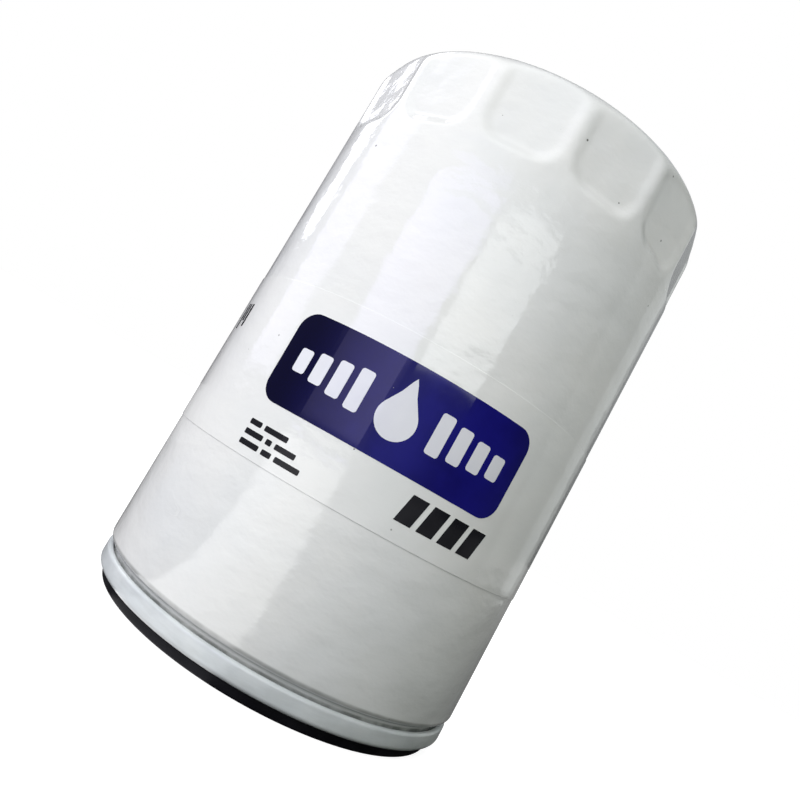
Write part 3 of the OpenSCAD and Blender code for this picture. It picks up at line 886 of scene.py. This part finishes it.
def group_hairlines():
    """Thin broken scratches that run mostly round and slightly across."""
    tree, given, out = new_group("hairlines", (("Place", 0), ("Size", 9 * MM), ("Share", 0.4)), ("Mask",))
    at = scaled(tree, given["Place"], maths(tree, "DIVIDE", 1.0, given["Size"]))
    lines = 0.0
    for stretch in ((0.35, 0.35, 3.0), (2.2, 1.9, 0.5)):
        wave = noise(tree, scaled(tree, at, stretch), 1.0, 1.0, 0.3)
        near = maths(tree, "ABSOLUTE", maths(tree, "SUBTRACT", wave, 0.5))
        lines = maths(tree, "MAXIMUM", ramp(tree, near, 0.004, 0.0), lines)
    patches = noise(tree, at, 0.9, 2.0, 0.5)
    limit = maths(tree, "SUBTRACT", 0.75, maths(tree, "MULTIPLY", given["Share"], 0.35))
    broken = ramp(tree, maths(tree, "SUBTRACT", patches, limit), 0.0, 0.05)
    feed(tree, out["Mask"], maths(tree, "MULTIPLY", lines, broken))


def group_grain():
    """Fine grain, drawn out along an axis when the coordinates are scaled first."""
    tree, given, out = new_group("grain", (("Place", 0), ("Size", 0.3 * MM)), ("Value",))
    at = scaled(tree, given["Place"], maths(tree, "DIVIDE", 1.0, given["Size"]))
    feed(tree, out["Value"], noise(tree, at, 1.0, 4.0, 0.65))


def group_lathe_marks():
    """Rings round the axis, left by a tool or by the sheet's spinning."""
    tree, given, out = new_group("lathe marks", (("Place", 0), ("Pitch", 0.2 * MM)), ("Height",))
    parts = node(tree, "SeparateXYZ", {"Vector": given["Place"]}).outputs
    round_xy = node(tree, "CombineXYZ", {"X": parts[0], "Y": parts[1]})
    radius = node(tree, "VectorMath", {0: round_xy.outputs[0]}, operation="LENGTH").outputs["Value"]
    steps = node(tree, "CombineXYZ", {"X": maths(tree, "DIVIDE", radius, given["Pitch"]),
                                      "Z": maths(tree, "DIVIDE", parts[2], given["Pitch"])})
    feed(tree, out["Height"], noise(tree, steps.outputs[0], 1.0, 3.0, 0.6))


def group_edge_wear():
    """The sharper outer edges, broken up so that wear comes and goes along them."""
    tree, given, out = new_group("edge wear", (("Place", 0), ("Size", 6 * MM), ("Share", 0.5)), ("Mask",))
    at = scaled(tree, given["Place"], maths(tree, "DIVIDE", 1.0, given["Size"]))
    point = node(tree, "NewGeometry").outputs["Pointiness"]
    patches = noise(tree, at, 1.0, 5.0, 0.65)
    limit = maths(tree, "SUBTRACT", 1.0, given["Share"])
    edge = maths(tree, "MULTIPLY", ramp(tree, point, 0.515, 0.58), ramp(tree, patches, limit, 1.0))
    feed(tree, out["Mask"], ramp(tree, edge, 0.02, 0.25))


def group_dust():
    """Pale dust that settles in patches on faces that look up."""
    tree, given, out = new_group("dust", (("Place", 0), ("Size", 4 * MM), ("Amount", 0.3)), ("Mask",))
    at = scaled(tree, given["Place"], maths(tree, "DIVIDE", 1.0, given["Size"]))
    normal = node(tree, "NewGeometry").outputs["Normal"]
    up = node(tree, "SeparateXYZ", {"Vector": normal}).outputs[2]
    lying = ramp(tree, up, -0.2, 1.0, 0.35, 1.0)
    patches = ramp(tree, noise(tree, at, 1.0, 6.0, 0.7), 0.4, 0.75)
    dust = maths(tree, "MULTIPLY", patches, lying)
    feed(tree, out["Mask"], maths(tree, "MULTIPLY", dust, given["Amount"]))


def make_groups():
    group_orange_peel()
    group_specks()
    group_clouds()
    group_hairlines()
    group_grain()
    group_lathe_marks()
    group_edge_wear()
    group_dust()


# ---- Finishes ----
def start(name, **values):
    """A material with its shader's constants set; returns it with its tree, shader and coordinates."""
    material = bpy.data.materials.new(name)
    material.use_nodes = True
    tree = material.node_tree
    shader = tree.nodes["Principled BSDF"]
    for key, value in values.items():
        feed(tree, shader.inputs[key.replace("_", " ")], value)
    return material, tree, shader, node(tree, "TexCoord").outputs["Object"]


def raise_by(tree, shader, height, distance):
    """Bumps the surface by a height from 0 to 1, times a distance."""
    bump = node(tree, "Bump", {"Height": height, "Distance": distance, "Strength": 1.0})
    feed(tree, shader.inputs["Normal"], bump.outputs[0])


ENAMEL = (0.80, 0.805, 0.79)
ENAMEL_COOL = (0.76, 0.775, 0.775)
LACQUER = (0.70, 0.735, 0.745)
RIPPLE = 12.0
DULL = 0.3
NAVY = (0.009, 0.008, 0.175)
NAVY_SHADE = (0.006, 0.005, 0.115)
# Painted shade: the near-black navy that the blue panel's left side darkens to
NAVY_LEFT_PAINTED_SHADE = (0.003, 0.003, 0.020)
FADE_FROM = -20 * MM


def seam_painted_shade(tree, place):
    """Painted shade in the crevice above the seam, and a thinner line of painted shade where the neck ends,
    broken up in patches.
    """
    up = node(tree, "SeparateXYZ", {"Vector": place}).outputs[2]
    crevice = ramp(tree, up, SEAM_TOP + 0.1 * MM, SEAM_TOP + 0.6 * MM, 0.85, 0.0)
    neck_end = maths(tree, "ABSOLUTE", maths(tree, "SUBTRACT", up, SEAM_TOP + NECK_H - 0.4 * MM))
    rim = ramp(tree, neck_end, 0.1 * MM, 0.5 * MM, 0.4, 0.0)
    patchy = use(tree, "clouds", place, Size=4 * MM, Low=0.6, High=1.0)
    return maths(tree, "MULTIPLY", maths(tree, "MAXIMUM", crevice, rim), patchy)


def white_enamel(name="white enamel", colour=ENAMEL, shade=ENAMEL_COOL, specks=0.4, peel=0.03 * MM,
                 roughness=0.07):
    """Baked gloss enamel: faint waves, dark pinholes, grey dust, a few rub marks and painted shade in the
    seam's crevice and at the neck's end.
    """
    material, tree, shader, place = start(name, Coat_Weight=0.5, Coat_Roughness=0.02)
    tint = use(tree, "clouds", place, Size=26 * MM)
    base = mixed(tree, tint, colour, shade)
    pinholes = use(tree, "specks", place, Spacing=3.6 * MM, Size=0.30 * MM, Share=specks)
    dust = use(tree, "specks", place, Spacing=2.6 * MM, Size=0.12 * MM, Share=0.16)
    rubs = use(tree, "hairlines", place, Size=14 * MM, Share=0.25)
    base = mixed(tree, maths(tree, "MULTIPLY", dust, 0.35), base, (0.42, 0.42, 0.40))
    base = mixed(tree, maths(tree, "MULTIPLY", rubs, 0.10), base, (0.5, 0.5, 0.5))
    base = mixed(tree, maths(tree, "MULTIPLY", pinholes, 0.9), base, (0.06, 0.06, 0.055))
    # Painted shade: dark grey in the crevice above the seam and along the neck's end
    base = mixed(tree, seam_painted_shade(tree, place), base, (0.10, 0.11, 0.10))
    feed(tree, shader.inputs["Base Color"], base)
    gloss = use(tree, "clouds", place, Size=11 * MM, Low=roughness - 0.025, High=roughness + 0.04)
    gloss = maths(tree, "ADD", gloss, maths(tree, "MULTIPLY", maths(tree, "MAXIMUM", rubs, pinholes), DULL))
    feed(tree, shader.inputs["Roughness"], gloss)
    waves = use(tree, "orange peel", place, Size=2.2 * MM)
    ripple = use(tree, "orange peel", scaled(tree, place, (1.0, 1.0, 1.5)), Size=8 * MM)
    height = maths(tree, "SUBTRACT", waves, maths(tree, "MULTIPLY", pinholes, 0.8))
    raise_by(tree, shader, maths(tree, "ADD", height, maths(tree, "MULTIPLY", ripple, RIPPLE)), peel)
    return material


def lid_lacquer():
    """The seam's white lacquer: cooler, thinner on its bends, chipped to bare steel in a few places."""
    material, tree, shader, place = start("lid lacquer", Coat_Weight=0.25, Coat_Roughness=0.08)
    tint = use(tree, "clouds", place, Size=9 * MM)
    base = mixed(tree, tint, LACQUER, (0.62, 0.66, 0.68))
    grime = use(tree, "clouds", scaled(tree, place, (1.0, 1.0, 5.0)), Size=5 * MM)
    base = mixed(tree, maths(tree, "MULTIPLY", grime, 0.18), base, (0.36, 0.37, 0.36))
    chips = use(tree, "specks", scaled(tree, place, (1.0, 1.0, 1.7)), Spacing=6 * MM, Size=0.75 * MM,
                Share=0.5)
    worn = use(tree, "edge wear", place, Size=5 * MM, Share=0.45)
    bare = maths(tree, "MAXIMUM", chips, maths(tree, "MULTIPLY", worn, 0.6))
    base = mixed(tree, bare, base, (0.17, 0.165, 0.16))
    feed(tree, shader.inputs["Base Color"], base)
    gloss = use(tree, "clouds", place, Size=6 * MM, Low=0.16, High=0.27)
    feed(tree, shader.inputs["Roughness"], maths(tree, "ADD", gloss, maths(tree, "MULTIPLY", bare, DULL)))
    waves = use(tree, "orange peel", place, Size=1.4 * MM)
    height = maths(tree, "SUBTRACT", waves, maths(tree, "MULTIPLY", bare, 1.5))
    raise_by(tree, shader, height, 0.03 * MM)
    return material


def film_white():
    """The label's glossy film over white, a touch smoother and warmer than the enamel beside it."""
    return white_enamel("label film", (0.81, 0.815, 0.80), (0.775, 0.79, 0.785), 0.25, 0.02 * MM, 0.06)


def ink(name, colour, shade, gloss=0.10, left_shade=None, varnish=1.0):
    """A printed layer: a dot screen, uneven cover, missed pinholes, a varnish that fades to the left, and,
    where left_shade is given, painted shade that darkens the left side.
    """
    material, tree, shader, place = start(name, Specular_IOR_Level=0.1, Coat_Roughness=0.05)
    across = node(tree, "SeparateXYZ", {"Vector": place}).outputs[0]
    cured = ramp(tree, across, FADE_FROM, 10 * MM, 0.1 * varnish, varnish)
    feed(tree, shader.inputs["Coat Weight"], cured)
    cover = use(tree, "clouds", place, Size=12 * MM)
    screen = use(tree, "specks", place, Spacing=0.22 * MM, Size=0.1 * MM, Share=0.9)
    missed = use(tree, "specks", place, Spacing=3.1 * MM, Size=0.11 * MM, Share=0.3)
    base = mixed(tree, cover, colour, shade)
    # Painted shade: the colour goes darker towards the left side
    if left_shade:
        base = mixed(tree, ramp(tree, across, FADE_FROM, 3 * MM), left_shade, base)
    base = mixed(tree, maths(tree, "MULTIPLY", screen, 0.12), base, shade)
    base = mixed(tree, maths(tree, "MULTIPLY", missed, 0.5), base, (0.5, 0.5, 0.52))
    feed(tree, shader.inputs["Base Color"], base)
    rough = use(tree, "clouds", place, Size=8 * MM, Low=gloss, High=gloss + 0.06)
    feed(tree, shader.inputs["Roughness"], rough)
    raise_by(tree, shader, use(tree, "orange peel", place, Size=1.8 * MM), 0.02 * MM)
    return material


def gasket_rubber():
    """Matt black nitrile: fine grain, pale flecks from the mould, and a little dust on what faces up."""
    material, tree, shader, place = start("gasket rubber", Specular_IOR_Level=0.12)
    grain = use(tree, "grain", place, Size=0.22 * MM)
    tone = use(tree, "clouds", place, Size=7 * MM)
    base = mixed(tree, tone, (0.003, 0.003, 0.005), (0.008, 0.008, 0.011))
    flecks = use(tree, "specks", place, Spacing=1.3 * MM, Size=0.09 * MM, Share=0.2)
    dust = use(tree, "dust", place, Size=3 * MM, Amount=0.10)
    pale = maths(tree, "MAXIMUM", maths(tree, "MULTIPLY", flecks, 0.5), dust)
    base = mixed(tree, pale, base, (0.08, 0.08, 0.085))
    feed(tree, shader.inputs["Base Color"], base)
    feed(tree, shader.inputs["Roughness"], ramp(tree, grain, 0.3, 0.7, 0.48, 0.66))
    raise_by(tree, shader, grain, 0.03 * MM)
    return material


def valve_rubber():
    """Red silicone: semi-matt, with flow marks from the mould and dust in patches."""
    material, tree, shader, place = start("valve rubber", Subsurface_Weight=0.04, Subsurface_Scale=MM)
    flow = use(tree, "clouds", scaled(tree, place, (1.0, 1.0, 3.0)), Size=6 * MM)
    base = mixed(tree, flow, (0.42, 0.055, 0.025), (0.30, 0.035, 0.018))
    dust = use(tree, "dust", place, Size=2.5 * MM, Amount=0.3)
    base = mixed(tree, dust, base, (0.50, 0.30, 0.26))
    feed(tree, shader.inputs["Base Color"], base)
    feed(tree, shader.inputs["Roughness"], use(tree, "clouds", place, Size=3 * MM, Low=0.38, High=0.56))
    raise_by(tree, shader, use(tree, "grain", place, Size=0.35 * MM), 0.02 * MM)
    return material


def sheet_metal(name, light, dark, rough_low, rough_high, stretch=(1.0, 1.0, 1.0), spangle=0.0, stain=0.0,
                turned_pitch=0.0):
    """Bare or plated steel: rolled or turned grain, hairlines, crystals, oil stains and bright edges."""
    material, tree, shader, place = start(name, Metallic=1.0)
    grain = use(tree, "grain", scaled(tree, place, stretch), Size=0.4 * MM)
    patches = use(tree, "clouds", place, Size=8 * MM)
    base = mixed(tree, patches, light, dark)
    base = mixed(tree, ramp(tree, grain, 0.35, 0.7, 0.0, 0.35), base, dark)
    lines = use(tree, "hairlines", place, Size=6 * MM, Share=0.6)
    rough = ramp(tree, grain, 0.3, 0.7, rough_low, rough_high)
    height = grain
    if spangle:
        at = scaled(tree, place, 1 / spangle)
        crystal = node(tree, "TexVoronoi", {"Vector": at, "Scale": 1.0})
        tone = node(tree, "SeparateColor", {"Color": crystal.outputs["Color"]}).outputs[0]
        base = mixed(tree, maths(tree, "MULTIPLY", tone, 0.3), base, dark)
        rough = maths(tree, "ADD", rough, ramp(tree, tone, 0.0, 1.0, -0.05, 0.07))
    if turned_pitch:
        rings = use(tree, "lathe marks", place, Pitch=turned_pitch)
        height = maths(tree, "ADD", maths(tree, "MULTIPLY", grain, 0.3), rings)
        base = mixed(tree, ramp(tree, rings, 0.4, 0.75, 0.0, 0.4), base, dark)
    if stain:
        film = use(tree, "clouds", place, Size=5 * MM)
        base = mixed(tree, maths(tree, "MULTIPLY", film, stain), base, (0.20, 0.15, 0.09))
        rough = maths(tree, "SUBTRACT", rough, maths(tree, "MULTIPLY", film, 0.08))
    worn = use(tree, "edge wear", place, Size=3 * MM, Share=0.7)
    bright = maths(tree, "MAXIMUM", maths(tree, "MULTIPLY", lines, 0.5), maths(tree, "MULTIPLY", worn, 0.7))
    base = mixed(tree, bright, base, (0.78, 0.78, 0.78))
    feed(tree, shader.inputs["Base Color"], base)
    feed(tree, shader.inputs["Roughness"], rough)
    height = maths(tree, "SUBTRACT", height, maths(tree, "MULTIPLY", lines, 0.4))
    raise_by(tree, shader, height, 0.02 * MM)
    return material


def filter_paper():
    """Resin-bonded paper: long pale fibres, darker resin between them and small pressed dimples."""
    material, tree, shader, place = start("filter paper")
    fibres = use(tree, "grain", scaled(tree, place, (1.0, 1.0, 0.22)), Size=0.35 * MM)
    tangle = use(tree, "grain", scaled(tree, place, (0.3, 0.3, 1.0)), Size=0.25 * MM)
    web = maths(tree, "MAXIMUM", fibres, tangle)
    resin = use(tree, "clouds", place, Size=10 * MM)
    base = mixed(tree, resin, (0.60, 0.42, 0.19), (0.46, 0.29, 0.11))
    base = mixed(tree, ramp(tree, web, 0.5, 0.8), base, (0.78, 0.66, 0.42))
    dimples = use(tree, "specks", place, Spacing=1.6 * MM, Size=0.5 * MM, Share=1.0)
    base = mixed(tree, maths(tree, "MULTIPLY", dimples, 0.2), base, (0.34, 0.20, 0.08))
    feed(tree, shader.inputs["Base Color"], base)
    feed(tree, shader.inputs["Roughness"], ramp(tree, web, 0.4, 0.8, 0.75, 0.95))
    raise_by(tree, shader, maths(tree, "SUBTRACT", web, dimples), 0.05 * MM)
    return material


def poured(name, light, dark, gloss):
    """Adhesive or sealing compound that set as it lay: slow waves, bubbles and a skin."""
    material, tree, shader, place = start(name, Subsurface_Weight=0.05, Subsurface_Scale=MM)
    tone = use(tree, "clouds", place, Size=5 * MM)
    bubbles = use(tree, "specks", place, Spacing=1.5 * MM, Size=0.35 * MM, Share=0.3)
    base = mixed(tree, tone, light, dark)
    base = mixed(tree, maths(tree, "MULTIPLY", bubbles, 0.5), base, dark)
    feed(tree, shader.inputs["Base Color"], base)
    rough = use(tree, "clouds", place, Size=2 * MM, Low=gloss, High=gloss + 0.15)
    feed(tree, shader.inputs["Roughness"], rough)
    waves = use(tree, "orange peel", place, Size=2.5 * MM)
    height = maths(tree, "SUBTRACT", waves, maths(tree, "MULTIPLY", bubbles, 0.6))
    raise_by(tree, shader, height, 0.15 * MM)
    return material


def make_finishes():
    """Every finish: the record's slots by their own names, and the three inks."""
    make_groups()
    return {
        "can_enamel": white_enamel(),
        "lid_enamel": lid_lacquer(),
        "label_film": film_white(),
        "gasket_rubber": gasket_rubber(),
        "valve_rubber": valve_rubber(),
        "plate_steel": sheet_metal("zinc-flashed plate", (0.60, 0.60, 0.58), (0.40, 0.41, 0.42), 0.26, 0.42,
                                   spangle=1.3 * MM, stain=0.25, turned_pitch=0.35 * MM),
        "cap_steel": sheet_metal("tinned caps", (0.68, 0.69, 0.69), (0.50, 0.51, 0.52), 0.18, 0.34,
                                 spangle=2.6 * MM, stain=0.15),
        "tube_steel": sheet_metal("rolled tube sheet", (0.62, 0.63, 0.64), (0.44, 0.45, 0.46), 0.24, 0.40,
                                  stretch=(1.0, 1.0, 0.12), stain=0.2),
        "plunger_steel": sheet_metal("turned plunger", (0.46, 0.47, 0.49), (0.28, 0.29, 0.31), 0.20, 0.36,
                                     turned_pitch=0.18 * MM),
        "spring_steel": sheet_metal("oiled spring wire", (0.30, 0.32, 0.37), (0.14, 0.15, 0.18), 0.24, 0.40,
                                    stretch=(0.3, 0.3, 1.0), stain=0.3),
        "filter_paper": filter_paper(),
        "potting": poured("cured plastisol", (0.50, 0.14, 0.06), (0.34, 0.08, 0.035), 0.35),
        "seam_compound": poured("sealing compound", (0.30, 0.25, 0.18), (0.17, 0.14, 0.10), 0.5),
        "blue_ink": ink("blue ink", NAVY, NAVY_SHADE, left_shade=NAVY_LEFT_PAINTED_SHADE),
        "white_ink": ink("white ink", (0.76, 0.77, 0.82), (0.70, 0.71, 0.78)),
        "black_ink": ink("black ink", (0.008, 0.008, 0.011), (0.016, 0.016, 0.020), 0.14, varnish=0.45),
    }


def dress_carried_nodes(finishes):
    """Gives each node that the frame still shows the finish that its material slot names."""
    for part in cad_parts.values():
        for slot in part.material_slots:
            slot.material = finishes[slot.material.name]


def place_fixed_pieces(finishes):
    """The pieces that never move, each with its finish and the CAD nodes it stands in for."""
    pieces = (
        (make_can(), "can_enamel", ["can"]),
        (make_lid(), "lid_enamel", ["seaming_lid"]),
        (make_gasket(), "gasket_rubber", ["gasket"]),
        (make_plate(), "plate_steel", ["base_plate"]),
        (make_thread(), "plate_steel", []),
        (make_film(), "label_film", ["label_film"]),
    )
    for piece, finish, nodes in pieces:
        paint(piece, finishes[finish])
        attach(piece, "housing")
        if nodes:
            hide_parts(*nodes)


def place_prints(finishes):
    """The printed marks, which are part of the label film."""
    prints = (
        (make_panel(), "blue_ink"),
        (make_symbol(), "white_ink"),
        (make_blocks(), "black_ink"),
        (make_rows(), "black_ink"),
        (make_side_marks(), "black_ink"),
    )
    for piece, finish in prints:
        paint(piece, finishes[finish])
        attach(piece, "housing")


def place_valve(finishes):
    """The valve's rubber moulding, with its skirt running from its root on the hub to its lip."""
    valve = make_valve()
    paint(valve, finishes["valve_rubber"])
    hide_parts("drainback_valve", "drainback_skirt")
    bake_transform(valve)


def place_coil(finishes):
    """The bypass spring, which stands between the cage's floor and the plunger."""
    coil = make_coil()
    paint(coil, finishes["spring_steel"])
    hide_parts("bypass_spring")
    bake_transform(coil)


def main():
    finishes = make_finishes()
    dress_carried_nodes(finishes)
    place_prints(finishes)
    place_fixed_pieces(finishes)
    place_valve(finishes)
    place_coil(finishes)
    make_camera()
    make_studio()


main()
